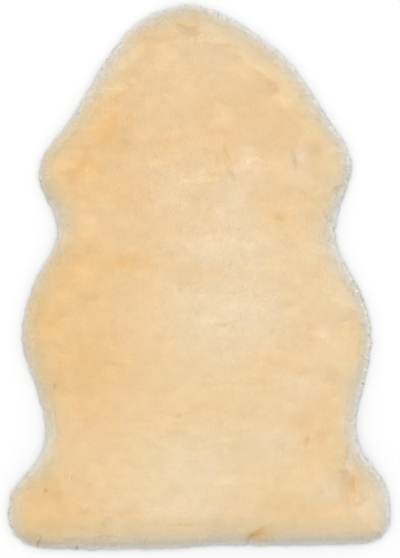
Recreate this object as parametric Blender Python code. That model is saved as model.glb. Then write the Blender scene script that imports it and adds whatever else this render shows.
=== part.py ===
"""A sheepskin rug, lying flat with its wool up.

Metres, +Z up, +Y towards the neck. The origin is on the floor under the middle of the rug.
The rug has two sub-parts. The hide is one tanned skin, cut to the outline of the animal. The
fleece is the wool that grows on it, shorn to one height: at the hide's edge it spreads past the
cut, turns over in a soft round rim of locks, and rests on the floor round the hide.
"""

import math
import random

import bmesh
import bpy
import numpy as np
from mathutils import Vector, geometry, noise

MM = 0.001

# Heights above the floor.
HIDE_THICKNESS = 2.0 * MM
PILE_LENGTH = 30.0 * MM
FLEECE_TOP = HIDE_THICKNESS + PILE_LENGTH
CLEARANCE = 0.3 * MM

# The fleece's outline. Each row crosses the skin at one station: how far along it lies, and
# how far the wool reaches to the left and to the right of the backbone, in millimetres.
STATIONS = (
    # along, left, right
    (463, -69, 25),
    (441, -109, 67),
    (414, -135, 109),
    (378, -162, 151),
    (341, -184, 181),
    (299, -209, 208),
    (258, -233, 234),
    (230, -260, 256),
    (200, -279, 266),
    (172, -282, 265),
    (145, -276, 251),
    (112, -252, 240),
    (80, -244, 234),
    (45, -253, 238),
    (12, -276, 260),
    (-25, -293, 279),
    (-67, -306, 294),
    (-110, -312, 300),
    (-155, -299, 295),
    (-200, -283, 283),
    (-245, -270, 272),
    (-285, -266, 273),
    (-315, -276, 284),
    (-342, -294, 311),
    (-362, -314, 323),
    (-380, -331, 330),
    (-413, -334, 334),
    (-440, -331, 333),
    (-458, -324, 324),
)
NECK_TIP = (-17, 475)
TAIL_EDGE = (
    # across, along
    (298, -467),
    (193, -469),
    (88, -471),
    (32, -469),
    (-34, -475),
    (-156, -477),
    (-261, -476),
    (-303, -470),
)

# The rim's section, from the pocket that holds the hide, under the wool and up to the top:
# how far inside the outline it lies and how high, in millimetres.
RIM_SECTION = (
    # name, inside, height
    ("pocket lip", 17.7, 0.0),
    ("floor line", 9.0, 0.0),
    ("low wool", 5.6, 3.2),
    ("widest wool", 4.0, 11.0),
    ("high wool", 5.8, 19.0),
    ("shoulder", 10.0, 24.6),
    ("turn", 15.2, 28.4),
    ("crown edge", 21.5, 30.7),
)
LOW_BAND = 2
HIGH_BAND = 3

# One lock stands on every second face of the low band and on the others of the high band.
LOCK_PITCH = 12.2 * MM
LOCK_TAPER = (2.9 * MM, 3.4 * MM)
LOCK_REACH = (3.2 * MM, 6.0 * MM)
LOCK_DROOP = (0.5 * MM, 3.0 * MM)
LOCK_SWAY = 2.4 * MM
LOCK_SEED = 11

# The top is a net of points: a lattice, and finer rows along each parting, which lie that many
# of its half widths to either side of it and run a little past its ends. The lattice keeps
# the two gaps to the partings' points and to the rim.
LATTICE_PITCH = 18.0 * MM
LATTICE_REACH = (360.0 * MM, 500.0 * MM)
PARTING_GAP = 12.0 * MM
RIM_GAP = 8.0 * MM
PARTING_PITCH = 12.0 * MM
PARTING_ROWS = (-1.6, -0.8, 0.0, 0.8, 1.6)
PARTING_OVERRUN = 1.1
CROWN_REACH = 42.0 * MM

# Soft unevenness of the shorn wool: the width and height of the swells, and of the tufts.
SWELLS = (150.0 * MM, 2.6 * MM)
TUFTS = (56.0 * MM, 2.6 * MM)

# Partings, where the wool falls to two sides, and tufts, which stand up between them.
PARTINGS = (
    # place, across, along, length, turn from across, half width, height (mm, degrees)
    ("tail edge", 98, -438, 88, 30, 12, -5.5),
    ("right hind waist", 187, -287, 62, 78, 11, -4.0),
    ("right hind leg, upper", 248, -318, 74, 80, 12, -5.0),
    ("right hind leg, lower", 258, -376, 66, 100, 12, -4.0),
    ("right foreleg fold", 226, 154, 80, 34, 13, -4.5),
    ("right shoulder tuft", 170, 200, 60, 100, 13, 3.2),
    ("left foreleg fold", -238, 136, 80, 4, 13, -4.5),
    ("neck tip", -8, 430, 60, 86, 12, -3.6),
    ("withers", 50, 196, 116, 106, 13, -3.4),
    ("left flank", -246, -199, 66, 22, 12, -3.4),
    ("left hind leg", -260, -372, 66, 58, 12, -4.0),
    ("tail middle", -24, -424, 120, 2, 12, -2.4),
)

# The finishes: colour and roughness. A softer edge than this angle is shaded round.
WOOL = ((0.83, 0.62, 0.36, 1.0), 0.95)
TANNED_SKIN = ((0.78, 0.62, 0.40, 1.0), 0.8)
SHARP_EDGE = math.radians(50)

# How a line is drawn: steps between two points of the outline, and when it is drawn in, the
# length of a step and how far each point then moves back in line with its neighbours.
SPAN_STEPS = 12
DRAW_STEP = 1.5 * MM
RELAX = 0.12


def landmarks():
    """The outline's points: from the neck down the right side, over the tail, up the left side."""
    right = [(right, along) for along, _, right in STATIONS]
    left = [(left, along) for along, left, _ in reversed(STATIONS)]
    return np.array([NECK_TIP, *right, *TAIL_EDGE, *left]) * MM


def smooth_line(points):
    """A closed smooth curve through the points, as a line of many short steps."""
    ahead, behind = np.roll(points, -1, 0), np.roll(points, 1, 0)
    handle = (ahead - behind) / 6
    line = []
    for i, point in enumerate(points):
        end = (i + 1) % len(points)
        knots = (point, point + handle[i], points[end] - handle[end], points[end])
        span = geometry.interpolate_bezier(*(Vector(k) for k in knots), SPAN_STEPS + 1)
        line += [tuple(p) for p in span[:-1]]
    return np.array(line)[:, :2]


def evenly_spaced(line, pitch):
    """The closed line again, with an even number of points about pitch apart."""
    closed = np.vstack([line, line[:1]])
    along = np.concatenate([[0], np.cumsum(np.linalg.norm(np.diff(closed, axis=0), axis=1))])
    count = 2 * round(along[-1] / pitch / 2)
    at = np.arange(count) * along[-1] / count
    return np.column_stack([np.interp(at, along, closed[:, k]) for k in (0, 1)])


def inward(line):
    """The unit vector from each point of the line into the skin. The line runs clockwise."""
    along = np.roll(line, -1, 0) - np.roll(line, 1, 0)
    across = np.column_stack([along[:, 1], -along[:, 0]])
    return across / np.linalg.norm(across, axis=1, keepdims=True)


def drawn_in(line, distance):
    """The line moved inwards in short steps, relaxed after each, so that corners round off."""
    steps = math.ceil(distance / DRAW_STEP)
    for _ in range(steps):
        line = line + inward(line) * distance / steps
        line += RELAX * ((np.roll(line, -1, 0) + np.roll(line, 1, 0)) / 2 - line)
    return line


def smooth_step(x):
    """0 below 0, 1 above 1, and smooth in between."""
    x = min(max(x, 0.0), 1.0)
    return x * x * (3 - 2 * x)


def parting_frame(row):
    """A parting's middle, its direction, half its length, its half width and its height."""
    _, across, along, length, turn, half_width, height = row
    middle = Vector((across, along)) * MM
    direction = Vector((math.cos(math.radians(turn)), math.sin(math.radians(turn))))
    return middle, direction, length * MM / 2, half_width * MM, height * MM


def parting_height(point):
    """How far the partings and tufts lift the wool at a point, below zero in a parting."""
    lift = 0.0
    for row in PARTINGS:
        middle, direction, half_length, half_width, height = parting_frame(row)
        offset = point - middle
        u = offset.dot(direction) / half_length
        v = offset.cross(direction) / half_width
        lift += height * math.exp(-2 * u * u - v * v)
    return lift


def wave(point, width):
    """Smooth unevenness from -1 to 1, with swells of about that width."""
    return noise.noise(Vector((point.x / width, point.y / width, width)))


def lump_height(point):
    """How uneven the shorn wool is at a point, partings among it."""
    swell = SWELLS[1] * wave(point, SWELLS[0])
    tuft = TUFTS[1] * wave(point, TUFTS[0])
    return swell + tuft + parting_height(point)


def distance_inside(point, line):
    """How far the point lies from the closed line: above zero inside it, below zero outside."""
    start, step = line, np.roll(line, -1, 0) - line
    offset = np.array(point) - start
    share = np.clip((offset * step).sum(1) / (step * step).sum(1), 0, 1)
    gap = np.linalg.norm(offset - share[:, None] * step, axis=1).min()
    end = start + step
    crosses = (start[:, 1] > point[1]) != (end[:, 1] > point[1])
    rise = np.where(crosses, step[:, 1], 1)
    at = start[:, 0] + (point[1] - start[:, 1]) / rise * step[:, 0]
    return gap if (crosses & (at > point[0])).sum() % 2 else -gap


def parting_points(clear_inside):
    """Points for the top along each parting, on its middle and down both its slopes."""
    points = []
    for row in PARTINGS:
        middle, direction, half_length, half_width, _ = parting_frame(row)
        side = Vector((-direction.y, direction.x)) * half_width
        reach = direction * half_length * PARTING_OVERRUN
        count = round(2 * reach.length / PARTING_PITCH)
        for i in range(count + 1):
            on_line = middle + reach * (2 * i / count - 1)
            points += [on_line + side * share for share in PARTING_ROWS]
    return [point for point in points if clear_inside(point)]


def lattice_points(clear_inside, taken):
    """Points of a staggered lattice over the whole skin, away from those already taken."""
    row_height = LATTICE_PITCH * math.sqrt(0.75)
    columns = math.ceil(LATTICE_REACH[0] / LATTICE_PITCH)
    rows = math.ceil(LATTICE_REACH[1] / row_height)
    points = []
    for row in range(-rows, rows + 1):
        for column in range(-columns, columns + 1):
            point = Vector(((column + row % 2 / 2) * LATTICE_PITCH, row * row_height))
            near = any((point - other).length < PARTING_GAP for other in taken)
            if not near and clear_inside(point):
                points.append(point)
    return points


def add_ring(bm, line, height):
    """A closed ring of new vertices."""
    return [bm.verts.new((x, y, height)) for x, y in line]


def bridge(bm, lower, upper):
    """Joins two rings of equal count by a band of four-sided faces, and returns the band."""
    count = len(lower)
    band = []
    for i in range(count):
        j = (i + 1) % count
        band.append(bm.faces.new((lower[i], lower[j], upper[j], upper[i])))
    return band


def close_top(bm, ring):
    """Closes the top inside its last ring with a net of triangles, crowned towards the middle."""
    line = np.array([v.co.xy for v in ring])
    edge_height = ring[0].co.z

    def clear_inside(point):
        return distance_inside(point, line) > RIM_GAP

    creases = parting_points(clear_inside)
    points = creases + lattice_points(clear_inside, creases)
    flat = [Vector(p) for p in line] + points
    edges = [(i, (i + 1) % len(line)) for i in range(len(line))]
    places, _, triangles, _, _, _ = geometry.delaunay_2d_cdt(flat, edges, [], 1, MM / 100)
    vertices = list(ring)
    for place in places[len(ring) :]:
        share = smooth_step(distance_inside(place, line) / CROWN_REACH)
        height = edge_height + (FLEECE_TOP - edge_height) * share
        vertices.append(bm.verts.new((place.x, place.y, height)))
    for triangle in triangles:
        bm.faces.new([vertices[i] for i in triangle])


def draw_out_locks(bm, faces):
    """Draws each face of the rim out to a four-sided lock, which tapers and droops a little."""
    chance = random.Random(LOCK_SEED)
    for face in faces:
        taper, reach = chance.uniform(*LOCK_TAPER), chance.uniform(*LOCK_REACH)
        bmesh.ops.inset_individual(bm, faces=[face], thickness=taper, depth=reach)
        droop = Vector((0, 0, -chance.uniform(*LOCK_DROOP)))
        along = face.normal.cross(Vector((0, 0, 1))).normalized()
        sway = along * chance.uniform(-LOCK_SWAY, LOCK_SWAY)
        bmesh.ops.translate(bm, verts=list(face.verts), vec=droop + sway)


def add_unevenness(bm):
    """Lifts and lowers the wool, least near the floor, where it lies flat."""
    for vertex in bm.verts:
        share = smooth_step(vertex.co.z / FLEECE_TOP)
        vertex.co.z += share * lump_height(vertex.co.xy)


def finished_object(name, bm, colour, roughness):
    """The mesh as an object of that name, with its faces pointing out and its own material."""
    bmesh.ops.recalc_face_normals(bm, faces=bm.faces)
    mesh = bpy.data.meshes.new(name)
    bm.to_mesh(mesh)
    bm.free()
    mesh.shade_smooth()
    mesh.set_sharp_from_angle(angle=SHARP_EDGE)
    material = bpy.data.materials.new(name)
    material.use_nodes = True
    shader = material.node_tree.nodes["Principled BSDF"]
    shader.inputs["Base Color"].default_value = colour
    shader.inputs["Roughness"].default_value = roughness
    shader.inputs["Metallic"].default_value = 0.0
    mesh.materials.append(material)
    obj = bpy.data.objects.new(name, mesh)
    bpy.context.scene.collection.objects.link(obj)
    return obj


def make_fleece(outline):
    """The wool, one closed body with a pocket underneath for the hide."""
    bm = bmesh.new()
    rings = [
        add_ring(bm, drawn_in(outline, inside * MM), height * MM)
        for _, inside, height in RIM_SECTION
    ]
    bands = [bridge(bm, lower, upper) for lower, upper in zip(rings, rings[1:])]
    roof_line = [v.co.xy for v in rings[0]]
    roof = add_ring(bm, roof_line, HIDE_THICKNESS + CLEARANCE)
    bridge(bm, roof, rings[0])
    bm.faces.new(roof)
    close_top(bm, rings[-1])
    bmesh.ops.recalc_face_normals(bm, faces=bm.faces)
    draw_out_locks(bm, bands[LOW_BAND][::2] + bands[HIGH_BAND][1::2])
    add_unevenness(bm)
    return finished_object("fleece", bm, *WOOL), np.array(roof_line)


def make_hide(pocket_line):
    """The skin, one flat sheet that fills the fleece's pocket with a little clearance."""
    bm = bmesh.new()
    cut = pocket_line + inward(pocket_line) * CLEARANCE
    flesh_side = bm.faces.new(add_ring(bm, cut, 0.0))
    raised = bmesh.ops.extrude_face_region(bm, geom=[flesh_side])["geom"]
    top = [v for v in raised if isinstance(v, bmesh.types.BMVert)]
    bmesh.ops.translate(bm, verts=top, vec=(0, 0, HIDE_THICKNESS))
    return finished_object("hide", bm, *TANNED_SKIN)


def centre_on_origin(pieces, widest):
    """Moves the pieces together, so that the widest one's box is centred over the origin."""
    points = np.array([v.co.xy for v in widest.data.vertices])
    middle = (points.min(0) + points.max(0)) / 2
    for piece in pieces:
        piece.location = (-middle[0], -middle[1], 0)


def clear_scene():
    for obj in list(bpy.data.objects):
        bpy.data.objects.remove(obj)


clear_scene()
outline = evenly_spaced(smooth_line(landmarks()), LOCK_PITCH)
fleece, pocket = make_fleece(outline)
hide = make_hide(pocket)
centre_on_origin((fleece, hide), fleece)
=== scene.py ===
# A sheepskin rug on a pale floor, seen from straight above with its neck away from the viewer.
# It is built up as the skin grew: the tanned hide, the dense under-wool on it, the shorn pile
# on top, the wool that turns over at the rim, and last the few loose curls.
import math

import bmesh
import bpy
import numpy as np
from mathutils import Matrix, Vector, interpolate, noise
from mathutils.bvhtree import BVHTree
from mathutils.kdtree import KDTree


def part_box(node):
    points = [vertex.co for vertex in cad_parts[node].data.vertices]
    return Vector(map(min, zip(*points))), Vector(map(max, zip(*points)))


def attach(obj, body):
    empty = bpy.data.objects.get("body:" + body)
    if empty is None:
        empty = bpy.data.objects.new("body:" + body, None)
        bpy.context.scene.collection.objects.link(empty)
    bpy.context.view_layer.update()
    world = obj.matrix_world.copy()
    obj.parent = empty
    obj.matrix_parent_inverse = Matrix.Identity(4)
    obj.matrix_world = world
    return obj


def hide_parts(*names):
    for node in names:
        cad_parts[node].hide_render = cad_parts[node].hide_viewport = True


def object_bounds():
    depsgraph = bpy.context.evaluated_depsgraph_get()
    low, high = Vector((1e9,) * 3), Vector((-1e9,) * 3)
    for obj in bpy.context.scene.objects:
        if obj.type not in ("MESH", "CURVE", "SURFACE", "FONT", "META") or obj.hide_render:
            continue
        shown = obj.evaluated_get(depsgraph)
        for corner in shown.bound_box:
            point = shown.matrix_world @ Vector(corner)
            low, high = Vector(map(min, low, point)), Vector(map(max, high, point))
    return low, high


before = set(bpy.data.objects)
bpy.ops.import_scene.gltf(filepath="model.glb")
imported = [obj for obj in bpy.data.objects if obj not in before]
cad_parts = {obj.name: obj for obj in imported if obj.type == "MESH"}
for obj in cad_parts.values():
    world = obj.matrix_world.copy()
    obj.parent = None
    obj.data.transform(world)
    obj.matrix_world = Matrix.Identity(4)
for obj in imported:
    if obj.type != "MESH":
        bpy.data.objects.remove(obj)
cad_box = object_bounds()
MM = 0.001

# ------------------------------------------------------------------------------------------
# The hide: one lambskin, tanned, sueded on its flesh side and trimmed with a knife along the
# animal's outline. It lies flat on the floor. The wool grows out of its upper side and hangs
# over its cut edge, so only its underside ever shows.
HIDE_THICKNESS = 2.0 * MM
# The blank is divided into square cells of this size.
HIDE_CELL = 30.0 * MM
# How far the cut edge is rounded, and from which angle on an edge counts as cut (radians).
CUT_EDGE = 0.45 * MM
CUT_TURN = 1.2
# Corners closer together than this are one.
MERGED = 0.01 * MM
SUEDE = (0.78, 0.62, 0.41, 1.0)
SUEDE_WORN = (0.67, 0.49, 0.28, 1.0)
SUEDE_PALE = (0.86, 0.74, 0.55, 1.0)


def merged_copy(node):
    """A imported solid's mesh, its loose triangles merged into one closed skin."""
    bm = bmesh.new()
    bm.from_mesh(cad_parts[node].data)
    bmesh.ops.remove_doubles(bm, verts=bm.verts, dist=MERGED)
    return bm


def new_piece(name, mesh, material, slot, *nodes):
    """An object on the rug's one body, in its material, that stands for the nodes."""
    piece = bpy.data.objects.new(name, mesh)
    bpy.context.scene.collection.objects.link(piece)
    mesh.materials.append(material)
    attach(piece, "root")
    if nodes:
        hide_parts(*nodes)
    return piece


def add_node(tree, kind, place, **inputs):
    """A shader node at a place in the tree, with its inputs linked or set by name."""
    node = tree.nodes.new(kind)
    node.location = place
    for name, value in inputs.items():
        socket = node.inputs[name.replace("_", " ")]
        if isinstance(value, bpy.types.NodeSocket):
            tree.links.new(value, socket)
        else:
            socket.default_value = value
    return node


def mottle_group():
    """Soft cloudy mottling: large clouds broken up by fine grain, about 0.5 on average."""
    group = bpy.data.node_groups.new("mottle", "ShaderNodeTree")
    for name, value in (("Clouds", 14.0), ("Grain", 320.0), ("Grain Share", 0.3)):
        socket = group.interface.new_socket(name, in_out="INPUT", socket_type="NodeSocketFloat")
        socket.default_value = value
    group.interface.new_socket("Value", in_out="OUTPUT", socket_type="NodeSocketFloat")
    given = add_node(group, "NodeGroupInput", (-700, 0))
    place = add_node(group, "ShaderNodeTexCoord", (-700, 300)).outputs["Object"]
    clouds = add_node(group, "ShaderNodeTexNoise", (-400, 200), Vector=place, Detail=4.0)
    grain = add_node(group, "ShaderNodeTexNoise", (-400, -100), Vector=place, Detail=2.0)
    group.links.new(given.outputs["Clouds"], clouds.inputs["Scale"])
    group.links.new(given.outputs["Grain"], grain.inputs["Scale"])
    both = add_node(group, "ShaderNodeMix", (-150, 0))
    group.links.new(given.outputs["Grain Share"], both.inputs["Factor"])
    group.links.new(clouds.outputs["Fac"], both.inputs["A"])
    group.links.new(grain.outputs["Fac"], both.inputs["B"])
    result = add_node(group, "NodeGroupOutput", (100, 0))
    group.links.new(both.outputs["Result"], result.inputs["Value"])
    return group


MOTTLE = mottle_group()


def add_mottle(tree, place, clouds, grain, grain_share):
    """The mottling in a material, with its own sizes."""
    node = tree.nodes.new("ShaderNodeGroup")
    node.node_tree = MOTTLE
    node.location = place
    node.inputs["Clouds"].default_value = clouds
    node.inputs["Grain"].default_value = grain
    node.inputs["Grain Share"].default_value = grain_share
    return node.outputs["Value"]


def add_ramp(tree, place, value, *stops):
    """A colour ramp over a value, with its stops as (position, colour)."""
    node = add_node(tree, "ShaderNodeValToRGB", place, Fac=value)
    ramp = node.color_ramp
    while len(ramp.elements) < len(stops):
        ramp.elements.new(1.0)
    for element, (position, colour) in zip(ramp.elements, stops):
        element.position = position
        element.color = colour
    return node.outputs["Color"]


def add_mix(tree, place, blend, factor, a, b):
    """A colour mix. The factor and the colours are sockets or constants."""
    node = tree.nodes.new("ShaderNodeMix")
    node.data_type = "RGBA"
    node.blend_type = blend
    node.location = place
    for socket, value in zip((node.inputs[0], node.inputs[6], node.inputs[7]), (factor, a, b)):
        if isinstance(value, bpy.types.NodeSocket):
            tree.links.new(value, socket)
        else:
            socket.default_value = value
    return node.outputs[2]


def new_material(name, roughness, sheen, specular):
    """A material with its shader, and the nodes' tree."""
    material = bpy.data.materials.new(name)
    material.use_nodes = True
    tree = material.node_tree
    shader = tree.nodes["Principled BSDF"]
    shader.inputs["Roughness"].default_value = roughness
    shader.inputs["Sheen Weight"].default_value = sheen
    shader.inputs["Sheen Roughness"].default_value = 0.5
    shader.inputs["Specular IOR Level"].default_value = specular
    return material, tree, shader


def suede():
    """The flesh side: a fine velvety nap, cloudy from the tanner's drum, with scuffs."""
    material, tree, shader = new_material("suede", 0.92, 0.15, 0.2)
    clouds = add_mottle(tree, (-900, 200), 9.0, 60.0, 0.35)
    colour = add_ramp(
        tree, (-600, 200), clouds, (0.3, SUEDE_WORN), (0.52, SUEDE), (0.72, SUEDE_PALE)
    )
    tree.links.new(colour, shader.inputs["Base Color"])
    nap = add_mottle(tree, (-900, -200), 180.0, 1400.0, 0.6)
    bump = add_node(tree, "ShaderNodeBump", (-300, -200), Height=nap)
    bump.inputs["Strength"].default_value = 0.4
    bump.inputs["Distance"].default_value = 0.4 * MM
    tree.links.new(bump.outputs["Normal"], shader.inputs["Normal"])
    return material


def cut_hide():
    """The trimmed skin: a flat blank in cells, thickened, with its cut edge a little rounded."""
    bm = merged_copy("hide")
    not_flesh = [f for f in bm.faces if f.normal.z > -0.5]
    bmesh.ops.delete(bm, geom=not_flesh, context="FACES")
    low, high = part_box("hide")
    for axis in (0, 1):
        normal = Vector((axis == 0, axis == 1, 0))
        for i in range(1, math.ceil((high[axis] - low[axis]) / HIDE_CELL)):
            geom = bm.verts[:] + bm.edges[:] + bm.faces[:]
            at = normal * (low[axis] + i * HIDE_CELL)
            bmesh.ops.bisect_plane(bm, geom=geom, dist=MERGED, plane_co=at, plane_no=normal)
    raised = bmesh.ops.extrude_face_region(bm, geom=bm.faces[:])["geom"]
    grain_side = [v for v in raised if isinstance(v, bmesh.types.BMVert)]
    bmesh.ops.translate(bm, verts=grain_side, vec=(0, 0, HIDE_THICKNESS))
    bmesh.ops.recalc_face_normals(bm, faces=bm.faces)
    cut = [e for e in bm.edges if e.is_manifold and e.calc_face_angle() > CUT_TURN]
    bmesh.ops.bevel(
        bm, geom=cut, offset=CUT_EDGE, segments=2, profile=0.5, affect="EDGES", material=-1
    )
    mesh = bpy.data.meshes.new("hide")
    bm.to_mesh(mesh)
    bm.free()
    mesh.shade_smooth()
    return mesh


hide = new_piece("skin", cut_hide(), suede(), "hide", "hide")

# ------------------------------------------------------------------------------------------
# The under-wool: where the fibres stand so close that they are one springy mass. It is the
# fleece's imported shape, drawn in by the length of the shorn tips and rounded off at the rim,
# where the mass has nothing beside it to hold it up.
TIP_LENGTH = 4.5 * MM
# What lies lower than this is the underside and stays as it is. So does the foot of the wall
# along the rim, but not the wall above it.
UNDERSIDE = 2.6 * MM
OUTER_WALL = 12 * MM
WALL_FOOT = 0.1 * MM
# The rim is rounded off from this far in, by smoothing it so many times.
ROUNDED = 45 * MM
ROUNDING = 14
# The hide ends this far inside the wool's widest reach. Its cut edge is read in steps, and
# the way out from it across so many steps to both sides.
HIDE_INSET = 19.3 * MM
EDGE_PITCH = 0.92 * MM
EDGE_REACH = 10
WOOL_ROOT = (0.85, 0.63, 0.37, 1.0)
WOOL_TIP = (0.86, 0.66, 0.41, 1.0)
WOOL_WARM = (0.85, 0.56, 0.26, 1.0)
WOOL_PALE = (0.87, 0.72, 0.53, 1.0)
# The rim's pale grey: wool paled by the sun, made lighter still as painted light on the shaded
# outermost locks.
WOOL_RIM_PALE_AND_LIT = (0.83, 0.785, 0.71, 1.0)
WOOL_DULL = (0.95, 0.90, 0.84, 1.0)
WOOL_CLEAR = (1.0, 1.0, 1.0, 1.0)
# Multiplied into a parting: the roots' warmer colour and painted shade between the locks.
PARTING_ROOTS_AND_SHADE = (0.68, 0.61, 0.48, 1.0)
# Painted shade, mixed in where the rim's wool fans out, most at the neck and the tail.
PAINTED_RIM_SHADE = (0.0, 0.0, 0.0, 1.0)
# How far out on its fibres the under-wool's surface lies, from root to tip.
BED_TIP = 0.6
# The rim, in from its reach: how far the wool there pales, partly by the sun and partly as
# painted light on its shaded outermost locks, and how much painted shade darkens it where it fans
# out and one looks deeper into it.
RIM_FADE = (
    # inside (mm), paled and painted light, painted shade at the sides, at the neck, at the tail
    (0, 0.95, 0.0, 0.0, 0.11),
    (3, 0.86, 0.03, 0.10, 0.17),
    (5, 0.78, 0.06, 0.19, 0.22),
    (9, 0.60, 0.12, 0.28, 0.27),
    (14, 0.38, 0.08, 0.28, 0.19),
    (22, 0.15, 0.07, 0.28, 0.12),
    (30, 0.06, 0.075, 0.27, 0.11),
    (36, 0.0, 0.06, 0.23, 0.10),
    (48, 0.0, 0.035, 0.145, 0.06),
    (60, 0.0, 0.01, 0.06, 0.02),
    (80, 0.0, 0.0, 0.0, 0.0),
)
# Warm wool and the wool in a parting bleach less, by these shares.
WARM_KEPT = 0.85
PARTED_KEPT = 0.4
# Each lock has a cell of its own on the map, which has this many rows and columns of them.
# So many strands show round a lock, and so many kinks along it.
LOCK_MAP = "OFBake"
CELLS = 220
FIBRES = 5
KINKS = 2.5

# Where the tanning and years of light made the wool warmer, and where it is paler, with one warm
# row that is painted shade and one pale row that is a painted highlight: middle and half size in
# millimetres, and how strongly.
WARM_SPOTS = (
    # place, across, along, half width, half length, strength
    ("left shoulder", -162, 255, 42, 46, 0.8),
    ("left foreleg", -205, 190, 40, 34, 0.8),
    ("left ribs, upper", -124, 146, 40, 42, 0.6),
    ("left ribs", -138, 25, 46, 18, 0.9),
    ("left flank, upper", -196, 36, 36, 26, 0.6),
    ("left flank", -264, -68, 40, 66, 0.9),
    ("left belly", -196, -24, 46, 36, 0.5),
    ("left haunch", -190, -137, 52, 28, 0.6),
    ("left waist", -166, -190, 46, 26, 0.6),
    ("left hind leg", -226, -262, 28, 70, 0.4),
    ("left hind foot", -252, -400, 44, 38, 0.5),
    ("neck tip", -8, 443, 8, 12, 0.6),
    ("neck, left", -93, 410, 34, 15, 0.4),
    ("left side, upper", -205, 200, 90, 80, 0.6),
    ("left side, middle", -228, 0, 90, 90, 0.7),
    ("left side, lower", -210, -150, 88, 110, 0.75),
    ("left foot", -262, -400, 70, 60, 0.65),
    ("between the ribs", -140, 75, 60, 40, 0.35),
    ("withers, left", -48, 235, 21, 17, 0.4),
    ("withers", 38, 226, 24, 24, 0.4),
    ("right shoulder", 88, 272, 70, 44, 0.25),
    ("right ribs", 140, 102, 14, 11, 0.9),
    ("backbone", 0, 2, 34, 17, 0.4),
    ("right flank", 150, -94, 60, 70, 0.25),
    ("right waist", 206, -268, 34, 52, 0.45),
    # Painted shade along the rim of the right flank, in the warm colour.
    ("right flank, edge shade", 268, -100, 13, 56, 0.5),
    ("right haunch", 158, -172, 70, 35, 0.25),
    ("tail, right", 150, -400, 60, 20, 0.35),
    ("tail notch", 108, -444, 20, 12, 0.8),
    ("tail, left", -112, -412, 36, 20, 0.35),
    ("right hind leg", 266, -372, 12, 32, 0.7),
)
PALE_SPOTS = (
    # place, across, along, half width, half length, strength
    ("ribs", 50, 46, 68, 38, 0.9),
    ("loin", 62, -59, 88, 66, 0.9),
    ("withers, right", 88, 186, 24, 38, 0.6),
    ("withers, middle", 0, 182, 18, 24, 0.45),
    ("behind the withers", 57, 125, 32, 44, 0.7),
    ("right shoulder", 172, 205, 17, 24, 0.6),
    ("right haunch", 175, -190, 44, 24, 0.5),
    ("rump", -8, -338, 61, 52, 0.6),
    ("tail", -20, -402, 80, 22, 0.6),
    ("right rump", 132, -286, 44, 35, 0.4),
    ("right flank", 258, -40, 24, 50, 0.4),
    ("right belly", 219, -94, 26, 44, 0.4),
    ("right hind foot", 298, -391, 38, 38, 0.5),
    ("right hind leg", 228, -373, 26, 21, 0.35),
    ("neck", 10, 400, 80, 50, 0.3),
    ("neck tip, right", 22, 428, 14, 12, 0.4),
    ("right side", 190, -60, 110, 160, 0.25),
    ("left ribs", -52, 142, 61, 52, 0.3),
    # A painted highlight where a tuft on the right shoulder catches the light.
    ("shoulder tuft highlight", 171, 206, 6, 11, 0.9),
    ("hind leg tuft", 262, -318, 9, 22, 0.9),
    ("hind leg curls", 219, -372, 9, 9, 0.7),
)

# Partings, where the wool falls to two sides and shows its warmer roots, darkened by painted
# shade.
PARTINGS = (
    # place, across, along, length, turn from across, half width, depth (mm, degrees, mm)
    ("withers", 50, 200, 80, 106, 4.0, 3.0),
    ("right shoulder", 164, 203, 30, 100, 4.0, 3.5),
    ("right waist", 187, -286, 26, 78, 4.0, 4.5),
    ("right hind leg, upper", 253, -312, 46, 80, 4.8, 5.4),
    ("right hind leg, lower", 266, -360, 40, 96, 4.5, 3.4),
    ("tail notch", 98, -446, 54, 28, 6.5, 5.0),
    ("tail", -25, -431, 76, 1, 3.0, 2.2),
    ("left hind foot", -281, -460, 28, 60, 3.5, 3.5),
    ("left foreleg", -262, 138, 24, 8, 4.0, 2.0),
    ("right foreleg", 238, 157, 40, 34, 4.5, 2.0),
    ("left hind leg, upper", -226, -348, 18, 70, 4.6, 4.6),
    ("left hind leg, lower", -268, -373, 14, 60, 4.0, 4.0),
    ("right ribs", 140, 102, 20, 20, 4.0, 2.5),
    ("backbone", -31, -24, 18, 84, 3.0, 2.5),
    ("right haunch", 117, -239, 16, 50, 3.0, 2.5),
    ("left waist", -252, -190, 13, 100, 3.4, 2.6),
    ("hind leg curls, outer", 226, -366, 12, 120, 3.2, 2.0),
    ("hind leg curls, inner", 213, -373, 13, 60, 3.2, 2.2),
)


def spot_share(place, rows):
    """How strongly each place lies in a table's soft spots, from 0 to 1."""
    share = np.zeros(len(place))
    for _, across, along, half_width, half_length, strength in rows:
        u = (place[:, 0] / MM - across) / half_width
        v = (place[:, 1] / MM - along) / half_length
        share = np.maximum(share, strength * np.exp(-0.7 * (u * u + v * v)))
    return share


def parting_pull(place):
    """At each place, how far a parting lays the wool aside, as a vector, how much it lowers
    it, and how strongly the roots and the painted shade between them show."""
    aside, depth, roots = np.zeros((len(place), 2)), np.zeros(len(place)), np.zeros(len(place))
    for _, across, along, length, turn, half_width, deep in PARTINGS:
        offset = place[:, :2] / MM - (across, along)
        ahead = np.array((math.cos(math.radians(turn)), math.sin(math.radians(turn))))
        side = np.array((-ahead[1], ahead[0]))
        u, v = offset @ ahead / (length / 2), offset @ side / half_width
        strength = np.exp(-2 * u * u - v * v)
        depth = np.maximum(depth, deep * strength)
        aside += side * (deep * strength * np.sign(v))[:, None]
        roots = np.maximum(roots, min(deep / 4, 1) * np.exp(-2 * u * u - 3 * v * v))
    return aside * MM, depth * MM, roots


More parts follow.
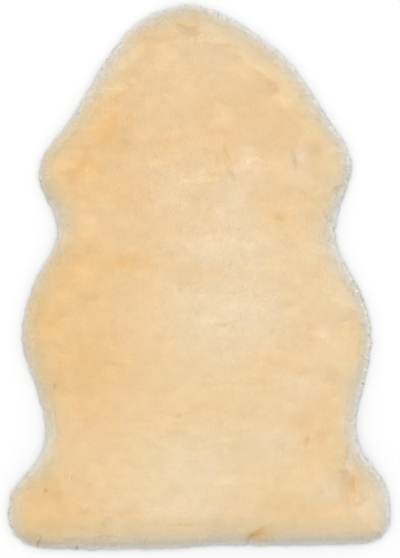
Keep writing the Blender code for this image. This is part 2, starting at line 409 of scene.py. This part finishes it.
def cut_edge():
    """The hide's cut edge as evenly spaced points in order, with the way out at each."""
    bm = merged_copy("hide")
    bmesh.ops.dissolve_limit(bm, angle_limit=math.radians(2), verts=bm.verts, edges=bm.edges)
    flesh = min(bm.faces, key=lambda face: face.normal.z)
    corners = np.array([v.co.xy for v in flesh.verts])
    bm.free()
    corners = np.concatenate([corners, corners[:1]])
    steps = np.linalg.norm(np.diff(corners, axis=0), axis=1)
    run = np.concatenate([[0], np.cumsum(steps)])
    at = np.arange(0, run[-1], EDGE_PITCH)
    places = np.stack([np.interp(at, run, corners[:, axis]) for axis in (0, 1)], 1)
    ahead = np.roll(places, -EDGE_REACH, 0) - np.roll(places, EDGE_REACH, 0)
    # Seen from above, the flesh side's corners run clockwise.
    out = np.stack([-ahead[:, 1], ahead[:, 0]], 1)
    out /= np.linalg.norm(out, axis=1, keepdims=True)
    tree = KDTree(len(places))
    for index, (x, y) in enumerate(places):
        tree.insert((x, y, 0), index)
    tree.balance()
    return tree, places, out


CUT_TREE, CUT_PLACES, CUT_WAYS = cut_edge()


def rim_frame(place):
    """How far each place is inside the wool's widest reach, and the way out from there."""
    index = [CUT_TREE.find((x, y, 0))[1] for x, y in place[:, :2]]
    out = CUT_WAYS[index]
    beyond = ((place[:, :2] - CUT_PLACES[index]) * out).sum(1)
    return HIDE_INSET - beyond, out


def mark_wool(mesh, place, tip, inside, out):
    """Marks every vertex with how far out on its fibre it is, and with the wool's colouring
    at the place where that fibre grows, with painted light and painted shade at the rim and in
    partings."""
    reach, bleached_and_lit, at_sides, at_neck, at_tail = np.array(RIM_FADE).T
    inside = inside / MM
    warm = spot_share(place, WARM_SPOTS)
    parted = parting_pull(place)[2]
    neck, tail = np.maximum(out[:, 1], 0) ** 2, np.minimum(out[:, 1], 0) ** 2
    # The rim pales, partly as painted light, and darkens by painted shade, more at the neck and
    # tail.
    bleached_and_lit = np.interp(inside, reach, bleached_and_lit) * (1 - WARM_KEPT * warm)
    painted_shade = np.interp(inside, reach, at_sides) * (1 - neck - tail)
    painted_shade += np.interp(inside, reach, at_neck) * neck + np.interp(inside, reach, at_tail) * tail
    marks = {
        "tip": tip,
        "warm": warm,
        "pale": spot_share(place, PALE_SPOTS),
        "parted": parted,
        "bleached_and_lit": bleached_and_lit * (1 - PARTED_KEPT * parted),
        "painted_shade": painted_shade,
    }
    for name, values in marks.items():
        attribute = mesh.attributes.new(name, "FLOAT", "POINT")
        attribute.data.foreach_set("value", np.asarray(values, np.float32))


def add_mark(tree, place, name):
    """One of the marks on the wool, read by its name."""
    node = tree.nodes.new("ShaderNodeAttribute")
    node.attribute_name = name
    node.location = place
    return node.outputs["Fac"]


def wool(name, glow):
    """Wool: warm at the root and pale at the tip, mottled, paled towards the rim, partly by the
    sun and partly as painted light, and darkened by painted shade in partings and where the rim
    fans out. The glow is the share of the light that wanders through it."""
    material, tree, shader = new_material(name, 0.9, 0.1, 0.12)
    shader.inputs["Subsurface Weight"].default_value = glow
    shader.inputs["Subsurface Radius"].default_value = (1.0, 0.9, 0.75)
    shader.inputs["Subsurface Scale"].default_value = 1.5 * MM
    tip = add_mark(tree, (-1700, 300), "tip")
    colour = add_ramp(tree, (-1500, 300), tip, (0.0, WOOL_ROOT), (0.7, WOOL_TIP))
    warm = add_mark(tree, (-1500, 0), "warm")
    colour = add_mix(tree, (-1200, 300), "MIX", warm, colour, WOOL_WARM)
    pale = add_mark(tree, (-1200, 0), "pale")
    colour = add_mix(tree, (-950, 300), "MIX", pale, colour, WOOL_PALE)
    clouds = add_mottle(tree, (-1200, -200), 38.0, 420.0, 0.4)
    shade = add_ramp(tree, (-950, -200), clouds, (0.3, WOOL_DULL), (0.7, WOOL_CLEAR))
    colour = add_mix(tree, (-700, 300), "MULTIPLY", 1.0, colour, shade)
    # The rim's paleness, partly painted light on its shaded outermost locks.
    bleached_and_lit = add_mark(tree, (-700, 0), "bleached_and_lit")
    colour = add_mix(tree, (-450, 300), "MIX", bleached_and_lit, colour, WOOL_RIM_PALE_AND_LIT)
    # Partings: the roots' colour and painted shade.
    parted = add_mark(tree, (-450, 0), "parted")
    colour = add_mix(tree, (-200, 300), "MULTIPLY", parted, colour, PARTING_ROOTS_AND_SHADE)
    # Painted shade where the rim fans out.
    painted_shade = add_mark(tree, (-200, 0), "painted_shade")
    colour = add_mix(tree, (50, 300), "MIX", painted_shade, colour, PAINTED_RIM_SHADE)
    tree.links.new(colour, shader.inputs["Base Color"])
    fibre = add_node(tree, "ShaderNodeUVMap", (-1200, -800))
    fibre.uv_map = LOCK_MAP
    stretch = add_node(tree, "ShaderNodeMapping", (-1000, -800), Vector=fibre.outputs["UV"])
    stretch.inputs["Scale"].default_value = (CELLS * FIBRES, CELLS * KINKS, 1)
    strands = add_node(tree, "ShaderNodeTexNoise", (-750, -800), Vector=stretch.outputs["Vector"])
    strands.inputs["Scale"].default_value = 1.0
    strands.inputs["Detail"].default_value = 1.0
    matted = add_mottle(tree, (-750, -500), 420.0, 1300.0, 0.5)
    height = add_node(tree, "ShaderNodeMath", (-500, -600))
    tree.links.new(strands.outputs["Fac"], height.inputs[0])
    tree.links.new(matted, height.inputs[1])
    bump = add_node(tree, "ShaderNodeBump", (-300, -600), Height=height.outputs["Value"])
    bump.inputs["Strength"].default_value = 0.7
    bump.inputs["Distance"].default_value = 0.35 * MM
    tree.links.new(bump.outputs["Normal"], shader.inputs["Normal"])
    return material


def smooth_step(value):
    """0 below 0, 1 above 1, and a soft change between."""
    value = np.clip(value, 0, 1)
    return value * value * (3 - 2 * value)


def under_wool():
    """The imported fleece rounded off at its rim, and sunk by the length of the tips."""
    bm = merged_copy("fleece")
    inside, _ = rim_frame(np.array([v.co for v in bm.verts]))
    wall = [d < OUTER_WALL and v.co.z > WALL_FOOT for v, d in zip(bm.verts, inside)]
    above = [v for v, on_wall in zip(bm.verts, wall) if on_wall or v.co.z > UNDERSIDE]
    rim = [v for v in above if inside[v.index] < ROUNDED]
    for _ in range(ROUNDING):
        bmesh.ops.smooth_vert(
            bm, verts=rim, factor=0.5, use_axis_x=True, use_axis_y=True, use_axis_z=True
        )
    bm.normal_update()
    normals = [v.normal.copy() for v in above]
    for vertex, normal in zip(above, normals):
        vertex.co -= normal * TIP_LENGTH * min(vertex.co.z / TIP_LENGTH, 1.0)
    mesh = bpy.data.meshes.new("under_wool")
    bm.to_mesh(mesh)
    bm.free()
    mesh.shade_smooth()
    return mesh


def coordinates(mesh):
    """A mesh's vertices as an array."""
    found = np.empty(len(mesh.vertices) * 3, np.float32)
    mesh.vertices.foreach_get("co", found)
    return found.reshape(-1, 3).astype(float)


WOOL = wool("wool", 1.0)
bed = new_piece("under_wool", under_wool(), WOOL, "wool", "fleece")
smooth = bed.modifiers.new("Subdivision", "SUBSURF")
smooth.levels = smooth.render_levels = 1
depsgraph = bpy.context.evaluated_depsgraph_get()
bed.data = bpy.data.meshes.new_from_object(bed.evaluated_get(depsgraph))
bed.modifiers.clear()
places = coordinates(bed.data)
mark_wool(bed.data, places, np.full(len(places), BED_TIP), *rim_frame(places))

# ------------------------------------------------------------------------------------------
# The shorn pile: tens of thousands of tapered tips, each a few hundred fibres that cling
# together. The comb laid them a little towards the tail, and they gather in soft tufts.
PITCH = 1.86 * MM
# Each tip stands off its place on the lattice by up to this share of the pitch, and its root
# is sunk into the under-wool.
JITTER = 0.3
SINK = 1.2 * MM
# Where the under-wool's normal rises less than this, its locks belong to the rim.
STEEP = 0.9
# Rays are sent down on the under-wool from this height.
ABOVE = 100 * MM
# A lock is a three-sided blade, broadened and flattened by these. Its rings lie between its
# root and its point, as shares of its length and of its width there. A tip has none.
BROAD = 1.1
FLAT = 0.8
TIP_RINGS = ()
TIP_WIDTH = 1.08 * MM
# Between which shares the widths, the lengths and the leans vary.
WIDTHS = (0.85, 1.2)
SHORN = (0.93, 1.05)
LEANS = (0.75, 1.15)
# The tips lean over by up to this much. Where the ways they are drawn cancel out, they stand
# up instead, so the wool parts nowhere by itself.
LAID_OVER = 3.6 * MM
UPRIGHT = 0.4
# How strongly a tip is drawn by the swirls, by the strokes of the comb and by chance.
SWIRLED = 0.5
STROKED = 0.5
LOOSE = 0.24
# All are combed back towards the tail, with full strength from this far inside the rim on.
# Near the rim they are drawn outwards too.
COMBED = 0.5
COMBED_FROM = 100 * MM
DRAWN_OUT = 1.2
# How wide and how long the swirls, the strokes and the ripples between them are.
SWIRL = (26 * MM, 12 * MM)
STROKE = (60 * MM, 34 * MM)
RIPPLE = (75 * MM, 13 * MM)
RIPPLE_HEIGHT = 0.35 * MM
# How far the tips are shaded as one soft surface, as wool is, rather than one by one. The
# strokes and the ripples tilt it, the ripples from almost nothing at the neck to fully so
# this far towards the tail.
SOFT = 0.75
STROKE_TILT = 0.08
RIPPLE_TILT = 0.32
RIPPLED_NECK = 0.1
RIPPLED_FROM = 220 * MM
# A parting draws the tips aside and tilts the surface by its depth over these, and makes the
# tips in it shorter by a share of its depth.
PARTED_LEAN = 4 * MM
PARTED_TILT = 18 * MM
PARTED_SINK = 0.4
# At its widest reach the wool has turned over by this angle. It begins to turn this far in,
# slowly at first, and the turn weighs this much against the way the under-wool faces.
FAN = math.radians(80)
FANNED = 62 * MM
FAN_EASE = 1.3
FAN_SHARE = 1.6
REGIONS = (
    # piece, from, to along the backbone (mm)
    ("pile_neck", 200, 500),
    ("pile_shoulders", 40, 200),
    ("pile_back", -100, 40),
    ("pile_loin", -265, -100),
    ("pile_rump", -500, -265),
)
# Both sources of chance have a fixed seed, so that every run grows the same rug.
chance = np.random.default_rng(7)
noise.seed_set(1)
SURFACE = BVHTree.FromPolygons(
    [v.co for v in bed.data.vertices], [p.vertices for p in bed.data.polygons]
)


def unit(vectors):
    """The vectors with a length of 1."""
    return vectors / np.linalg.norm(vectors, axis=-1, keepdims=True)


def wandering(places, across, along, layer):
    """Smooth noise from about -1 to 1 in three directions, as long as said each way. Each
    layer has a pattern of its own."""
    scale = Vector((1 / across, 1 / along, 1 / across))
    offset = Vector((0, 0, layer))
    return np.array([noise.noise_vector(Vector(place) * scale + offset) for place in places])


def lattice():
    """A staggered lattice over the whole rug, each point moved a little at random."""
    low, high = cad_box
    across = np.arange(low[0], high[0], PITCH)
    along = np.arange(low[1], high[1], PITCH * math.sqrt(0.75))
    x, y = np.meshgrid(across, along)
    x[1::2] += PITCH / 2
    points = np.stack([x.ravel(), y.ravel()], 1)
    return points + chance.uniform(-JITTER, JITTER, points.shape) * PITCH


def smooth_normal(index, place):
    """The way the under-wool faces at a place on one of its faces, blended from its corners."""
    corners = [bed.data.vertices[i] for i in bed.data.polygons[index].vertices]
    shares = interpolate.poly_3d_calc([v.co for v in corners], place)
    return sum((v.normal * share for v, share in zip(corners, shares)), Vector()).normalized()


def planted(points, steepest):
    """Where points of a plan meet the under-wool from above, which way it faces there, and
    which of the points they are: those where it is steeper than said are left out."""
    places, normals, kept = [], [], []
    for number, (x, y) in enumerate(points):
        place, facing, index, _ = SURFACE.ray_cast(Vector((x, y, ABOVE)), Vector((0, 0, -1)))
        if place is not None and facing.z > steepest:
            places.append(place)
            normals.append(smooth_normal(index, place))
            kept.append(number)
    return np.array(places), np.array(normals), kept


def fanned(normal, inside, out):
    """The way the wool looks: up over the back, and further and further out to the rim."""
    turn = FAN * np.clip(1 - inside / FANNED, 0, 1) ** FAN_EASE
    fan = np.concatenate([out * np.sin(turn)[:, None], np.cos(turn)[:, None]], 1)
    return unit(fan * FAN_SHARE + normal)


def lock_shape(rings):
    """One lock, 1 long: a flat three-sided blade, cut at its rings and drawn to a point."""
    bm = bmesh.new()
    bmesh.ops.create_cone(bm, cap_ends=True, segments=3, radius1=1, radius2=0, depth=1)
    bmesh.ops.translate(bm, verts=bm.verts, vec=(0, 0, 0.5))
    for share, width in rings:
        geom = bm.verts[:] + bm.edges[:] + bm.faces[:]
        cut = bmesh.ops.bisect_plane(bm, geom=geom, plane_co=(0, 0, share), plane_no=(0, 0, 1))
        ring = [v for v in cut["geom_cut"] if isinstance(v, bmesh.types.BMVert)]
        wider = width / (1 - share)
        bmesh.ops.scale(bm, verts=ring, vec=(wider, wider, 1))
    bmesh.ops.scale(bm, verts=bm.verts, vec=(BROAD, FLAT, 1))
    unrolled = bm.loops.layers.uv.new(LOCK_MAP)
    for face in bm.faces:
        middle = face.calc_center_median()
        about = math.atan2(middle.y, middle.x)
        for loop in face.loops:
            x, y, z = loop.vert.co
            turned = math.remainder(math.atan2(y, x) - about, math.tau) if x or y else 0
            if face.normal.z < -0.9:
                loop[unrolled].uv = (0.5 + x * 0.4, 0.08 + y * 0.05)
            else:
                loop[unrolled].uv = ((about + turned) / math.tau % 1, 0.16 + 0.8 * z)
    mesh = bpy.data.meshes.new("lock")
    bm.to_mesh(mesh)
    bm.free()
    return mesh


def locks_mesh(name, shape, root, along, lean, width, facing):
    """Many locks in one mesh. Each stands on its root, runs along its direction, and leans
    over more and more towards its point, with its flat back on top."""
    count = len(root)
    model = coordinates(shape)
    share = model[:, 2]
    axis = unit(along)
    side = unit(np.cross(lean, axis))
    front = np.cross(axis, side)
    outward = side[:, None] * model[:, :1] + front[:, None] * model[:, 1:2]
    place = root[:, None] + along[:, None] * share[:, None] + lean[:, None] * share[:, None] ** 2
    place += outward * width[:, None, None]

    loops = np.array([loop.vertex_index for loop in shape.loops])
    starts = np.array([p.loop_start for p in shape.polygons])
    mesh = bpy.data.meshes.new(name)
    mesh.vertices.add(count * len(model))
    mesh.vertices.foreach_set("co", place.astype(np.float32).ravel())
    mesh.loops.add(count * len(loops))
    every = np.arange(count)[:, None] * len(model) + loops
    mesh.loops.foreach_set("vertex_index", every.astype(np.int32).ravel())
    mesh.polygons.add(count * len(starts))
    every = np.arange(count)[:, None] * len(loops) + starts
    mesh.polygons.foreach_set("loop_start", every.astype(np.int32).ravel())
    mesh.update(calc_edges=True)
    mesh.shade_smooth()

    flat = np.empty(len(loops) * 2, np.float32)
    shape.uv_layers[LOCK_MAP].data.foreach_get("uv", flat)
    cell = np.stack([np.arange(count) % CELLS, np.arange(count) // CELLS], 1)
    flat = (cell[:, None] + 0.04 + 0.92 * flat.reshape(-1, 2)) / CELLS
    mesh.uv_layers.new(name=LOCK_MAP).data.foreach_set("uv", flat.astype(np.float32).ravel())

    inside, out = rim_frame(root)
    nearer = ((place - root[:, None])[:, :, :2] * out[:, None]).sum(2)
    inside = (inside[:, None] - nearer).ravel()
    every, out = np.repeat(root, len(model), 0), np.repeat(out, len(model), 0)
    mark_wool(mesh, every, np.tile(share, count), inside, out)
    shade_softly(mesh, np.repeat(facing, len(loops), 0))
    return mesh


def shade_softly(mesh, facing):
    """Shades the faces that look the way the wool does as parts of one soft surface."""
    own = np.empty((len(mesh.loops), 3), np.float32)
    mesh.corner_normals.foreach_get("vector", own.ravel())
    faces = np.empty((len(mesh.polygons), 3), np.float32)
    mesh.polygons.foreach_get("normal", faces.ravel())
    sizes = np.empty(len(mesh.polygons), np.int32)
    mesh.polygons.foreach_get("loop_total", sizes)
    alike = (np.repeat(faces, sizes, 0) * facing).sum(1, keepdims=True)
    whole = own * (1 - SOFT) + facing * (SOFT * np.clip(0.5 + 3 * alike, 0, 1))
    attribute = mesh.attributes.new("custom_normal", "FLOAT_VECTOR", "CORNER")
    attribute.data.foreach_set("vector", unit(whole).astype(np.float32).ravel())


def pile_tips(root, normal):
    """How each tip stands on the under-wool: its direction, its lean and its shading."""
    inside, out = rim_frame(root)
    facing = fanned(normal, inside, out)
    stroke = wandering(root, *STROKE, 1.5)
    swirl = wandering(root, *SWIRL, 4.5)
    ripple = wandering(root, *RIPPLE, 7.5)
    aside, depth, _ = parting_pull(root)
    lean = swirl * SWIRLED + stroke * STROKED + chance.normal(size=root.shape) * LOOSE
    lean[:, 1] -= COMBED * smooth_step(inside / COMBED_FROM)
    drawn_out = DRAWN_OUT - DRAWN_OUT * smooth_step(inside / FANNED)
    lean[:, :2] += aside / PARTED_LEAN + out * drawn_out[:, None]
    lean -= facing * (lean * facing).sum(1, keepdims=True)
    lean /= UPRIGHT + np.linalg.norm(lean, axis=1, keepdims=True)
    lean *= LAID_OVER * chance.uniform(*LEANS, (len(root), 1))
    length = (TIP_LENGTH + SINK) * chance.uniform(*SHORN, len(root))
    along = facing * (length + ripple[:, 0] * RIPPLE_HEIGHT - depth * PARTED_SINK)[:, None]
    rippled = RIPPLED_NECK + smooth_step(-root[:, 1] / RIPPLED_FROM)
    tilt = np.zeros_like(root)
    tilt[:, :2] = stroke[:, :2] * STROKE_TILT + aside / PARTED_TILT
    tilt[:, 1] += ripple[:, 1] * RIPPLE_TILT * rippled
    return along, lean, unit(facing + tilt)


def lock_pieces(regions, rings, root, *kinds):
    """One piece of locks for each region, from the locks' roots and their other properties."""
    shape = lock_shape(rings)
    pieces = []
    for name, start, end in regions:
        here = (root[:, 1] >= start * MM) & (root[:, 1] < end * MM)
        mesh = locks_mesh(name, shape, *[kind[here] for kind in kinds])
        pieces.append(new_piece(name, mesh, WOOL, "wool", "fleece"))
    return pieces


roots, normals, _ = planted(lattice(), STEEP)
along, lean, facing = pile_tips(roots, normals)
widths = TIP_WIDTH * chance.uniform(*WIDTHS, len(roots))
sunk = roots - normals * SINK
pile = lock_pieces(REGIONS, TIP_RINGS, roots, sunk, along, lean, widths, facing)

# ------------------------------------------------------------------------------------------
# The rim: past the cut hide the wool has nothing under it, so its locks spread, turn over and
# hang to the floor. They are longer than the pile's tips and bend under their own weight.
RIM_WIDTH = 1.12 * MM
RIM_RINGS = ((0.55, 0.85),)
# Their lengths at the top of the rim and where they hang, and how much those vary.
RIM_LENGTH = (6.5 * MM, 13.0 * MM)
UNSHORN = (0.8, 1.15)
# Where they hang they droop by this much, but to no lower than this. Only this share of the
# under-wool's rise or fall turns them up or down.
RIM_DROOP = 3.5 * MM
RIM_LOWEST = 1.3 * MM
RIM_RISE = 0.4
# How far each leans by chance, and how far those within this width sway together.
RIM_LOOSE = 0.6 * MM
SWAYED = 1.5 * MM
SWAY = 14 * MM
# Their roots lie where rays from this height over the cut edge, fanned in steps (degrees) from
# below to above, meet the under-wool. Every second point of the edge has a fan.
RAY_HEIGHT = 9 * MM
RAY_FROM = -33
RAY_TO = 125
RAY_STEP = 6.7
# The locks gather in tufts about this wide, whose lengths differ by this share.
TUFT = 11 * MM
TUFTING = 0.18
RIMS = (("rim_neck", 0, 500), ("rim_tail", -500, 0))


def rim_roots():
    """Where the rim's locks stand on the under-wool, and the way it faces there."""
    roots, normals = [], []
    for column, (place, way) in enumerate(zip(CUT_PLACES[::2], CUT_WAYS[::2])):
        start = RAY_FROM + column % 2 * RAY_STEP / 2
        for angle in np.radians(np.arange(start, RAY_TO, RAY_STEP)):
            turn = angle + chance.uniform(-JITTER, JITTER) * math.radians(RAY_STEP)
            ahead = Vector((*(way * math.cos(turn)), math.sin(turn)))
            root, _, index, _ = SURFACE.ray_cast(Vector((*place, RAY_HEIGHT)), ahead)
            if root is not None and bed.data.polygons[index].normal.z <= STEEP:
                roots.append(root)
                normals.append(smooth_normal(index, root))
    return np.array(roots), np.array(normals)


roots, normals = rim_roots()
inside, out = rim_frame(roots)
facing = fanned(normals, inside, out)
hanging = smooth_step((STEEP - normals[:, 2]) / STEEP)
lengths = RIM_LENGTH[0] + (RIM_LENGTH[1] - RIM_LENGTH[0]) * hanging
lengths *= chance.uniform(*UNSHORN, len(roots))
lengths *= 1 + TUFTING * hanging * wandering(roots, TUFT, TUFT, 2.5)[:, 0]
along = unit(facing + normals * (1, 1, RIM_RISE)) * lengths[:, None]
lean = chance.normal(size=roots.shape) * RIM_LOOSE
lean += wandering(roots, SWAY, SWAY, 3.5) * SWAYED
lean[:, 2] -= RIM_DROOP * hanging
lean[:, 2] = np.maximum(lean[:, 2], RIM_LOWEST - roots[:, 2] - along[:, 2])
widths = RIM_WIDTH * chance.uniform(*WIDTHS, len(roots))
sunk = roots - normals * SINK
rim = lock_pieces(RIMS, RIM_RINGS, roots, sunk, along, lean, widths, facing)

# ------------------------------------------------------------------------------------------
# Stray tufts: longer locks that the shears missed. They curl over the pile in small bunches,
# most of them by the right hind leg, where the comb lifted them.
STRAY_RINGS = ((0.4, 1.0), (0.75, 0.75))
STRAY_WIDTH = 0.42 * MM
# They start this high over the under-wool, rise by this much, and fall back by a share of it.
STRAY_ROOT = 3.1 * MM
STRAY_RISE = 2.2 * MM
STRAY_DROOP = 0.6
# How much their headings (degrees), lengths, curls and widths vary.
STRAY_HEADING = 15
STRAY_LENGTHS = (0.7, 1.2)
STRAY_CURLS = (0.7, 1.3)
STRAY_WIDTHS = (0.8, 1.2)
# Less light wanders through them than through the close wool.
STRAY_GLOW = 0.3
STRAYS = (
    # place, across, along, spread, locks, heading, length, curl (mm, degrees, mm, share)
    ("right shoulder, upper", 168, 211, 4.0, 9, 75, 9, 0.3),
    ("right shoulder, lower", 171, 201, 4.0, 8, -80, 9, -0.3),
    ("right hind leg, upper", 264, -308, 5.0, 12, -75, 15, 0.25),
    ("right hind leg, middle", 252, -330, 5.0, 9, -110, 11, -0.5),
    ("right hind leg, curls", 218, -372, 8.5, 15, 150, 8, 1.1),
    ("right hind leg, inner curls", 247, -362, 6.0, 12, 60, 8, -1.2),
    ("right foot", 283, -388, 5.5, 9, 20, 11, 1.0),
    ("right foot, lower", 246, -385, 4.0, 5, -40, 7, 0.8),
    ("left waist", -253, -189, 5.0, 9, 100, 9, 1.0),
    ("left hind leg", -219, -354, 5.0, 9, -20, 8, 0.9),
    ("left foot", -246, -383, 6.0, 11, -60, 9, 0.8),
    ("left foot, lower", -283, -458, 4.0, 6, -120, 11, 0.2),
    ("withers", 38, 178, 5.0, 12, -60, 8, 0.6),
    ("rump", 70, -300, 6.0, 12, 0, 8, 0.5),
    ("loin", -40, -230, 6.0, 12, 180, 8, 0.5),
)


def stray_locks():
    """Where each stray lock stands, how it runs, and how it curls sideways."""
    points, ahead, aside = [], [], []
    for _, across, along, spread, count, heading, length, curl in STRAYS:
        points.append((across, along) + chance.normal(size=(count, 2)) * spread)
        turn = np.radians(heading + chance.normal(size=count) * STRAY_HEADING)
        reach = length * chance.uniform(*STRAY_LENGTHS, count)
        ahead.append(np.stack([np.cos(turn), np.sin(turn)], 1) * reach[:, None])
        bend = curl * chance.uniform(*STRAY_CURLS, count)
        aside.append(np.stack([-np.sin(turn), np.cos(turn)], 1) * (reach * bend)[:, None])
    return [np.concatenate(each) * MM for each in (points, ahead, aside)]


points, ahead, aside = stray_locks()
roots, normals, kept = planted(points, 0)
rise = np.full((len(roots), 1), STRAY_RISE)
stray = locks_mesh(
    "stray_tufts",
    lock_shape(STRAY_RINGS),
    roots + normals * STRAY_ROOT,
    np.concatenate([ahead[kept], rise], 1),
    np.concatenate([aside[kept], -STRAY_DROOP * rise], 1),
    STRAY_WIDTH * chance.uniform(*STRAY_WIDTHS, len(roots)),
    normals,
)
strays = new_piece("stray_tufts", stray, wool("stray wool", STRAY_GLOW), "wool", "fleece")

# ------------------------------------------------------------------------------------------
# The studio: a white floor, a broad soft light from the neck's side and a bright room, so that
# the only shadow is a soft one along the tail edge. The camera looks straight down.
FLOOR_SIZE = 6.0
FLOOR_DROP = 0.05 * MM
FLOOR_WHITE = (0.565, 0.565, 0.565, 1.0)
KEY_PLACE = (-0.25, 2.9, 7.2)
KEY_SIZE = 4.2
KEY_POWER = 303
KEY_LIGHT = (1.0, 0.985, 0.965)
ROOM_LIGHT = (0.98, 0.99, 1.0, 1.0)
ROOM_STRENGTH = 1.41
# The picture's size, and the rows and columns of it between which the rug lies.
PICTURE = (400, 558)
RUG_ROWS = (3.5, 549.2)
RUG_COLUMNS = (8.0, 391.3)
# The camera hangs this high over the height at which the rim is widest.
CAMERA_HEIGHT = 3.4
RIM_HEIGHT = 12 * MM


def floor():
    """A wide white floor, just under the rug."""
    bm = bmesh.new()
    bmesh.ops.create_grid(bm, x_segments=1, y_segments=1, size=FLOOR_SIZE / 2)
    bmesh.ops.translate(bm, verts=bm.verts, vec=(0, 0, -FLOOR_DROP))
    mesh = bpy.data.meshes.new("floor")
    bm.to_mesh(mesh)
    bm.free()
    material, _, shader = new_material("floor", 0.9, 0.0, 0.0)
    shader.inputs["Base Color"].default_value = FLOOR_WHITE
    mesh.materials.append(material)
    piece = bpy.data.objects.new("floor", mesh)
    bpy.context.scene.collection.objects.link(piece)


def key():
    """One large soft square light, aimed at the rug."""
    light = bpy.data.lights.new("key", "AREA")
    light.size = KEY_SIZE
    light.energy = KEY_POWER
    light.color = KEY_LIGHT
    piece = bpy.data.objects.new("key", light)
    piece.location = KEY_PLACE
    piece.rotation_euler = (-Vector(KEY_PLACE)).to_track_quat("-Z", "Y").to_euler()
    bpy.context.scene.collection.objects.link(piece)


def room():
    """The even light of a bright white room."""
    world = bpy.data.worlds.new("room")
    world.use_nodes = True
    background = world.node_tree.nodes["Background"]
    background.inputs["Color"].default_value = ROOM_LIGHT
    background.inputs["Strength"].default_value = ROOM_STRENGTH
    bpy.context.scene.world = world


def camera():
    """Straight above, so far that the rug fills its rows of the picture, and framed as there."""
    low, high = cad_box
    scale = (high[1] - low[1]) / (RUG_ROWS[1] - RUG_ROWS[0])
    data = bpy.data.cameras.new("camera")
    data.lens = data.sensor_width * CAMERA_HEIGHT / (PICTURE[1] * scale)
    piece = bpy.data.objects.new("camera", data)
    right = (PICTURE[0] - sum(RUG_COLUMNS)) / 2 * scale
    down = (PICTURE[1] - sum(RUG_ROWS)) / 2 * scale
    piece.location = (right, -down, CAMERA_HEIGHT + RIM_HEIGHT)
    bpy.context.scene.collection.objects.link(piece)
    bpy.context.scene.camera = piece


floor()
key()
room()
camera()
bpy.context.scene.view_settings.view_transform = "Standard"
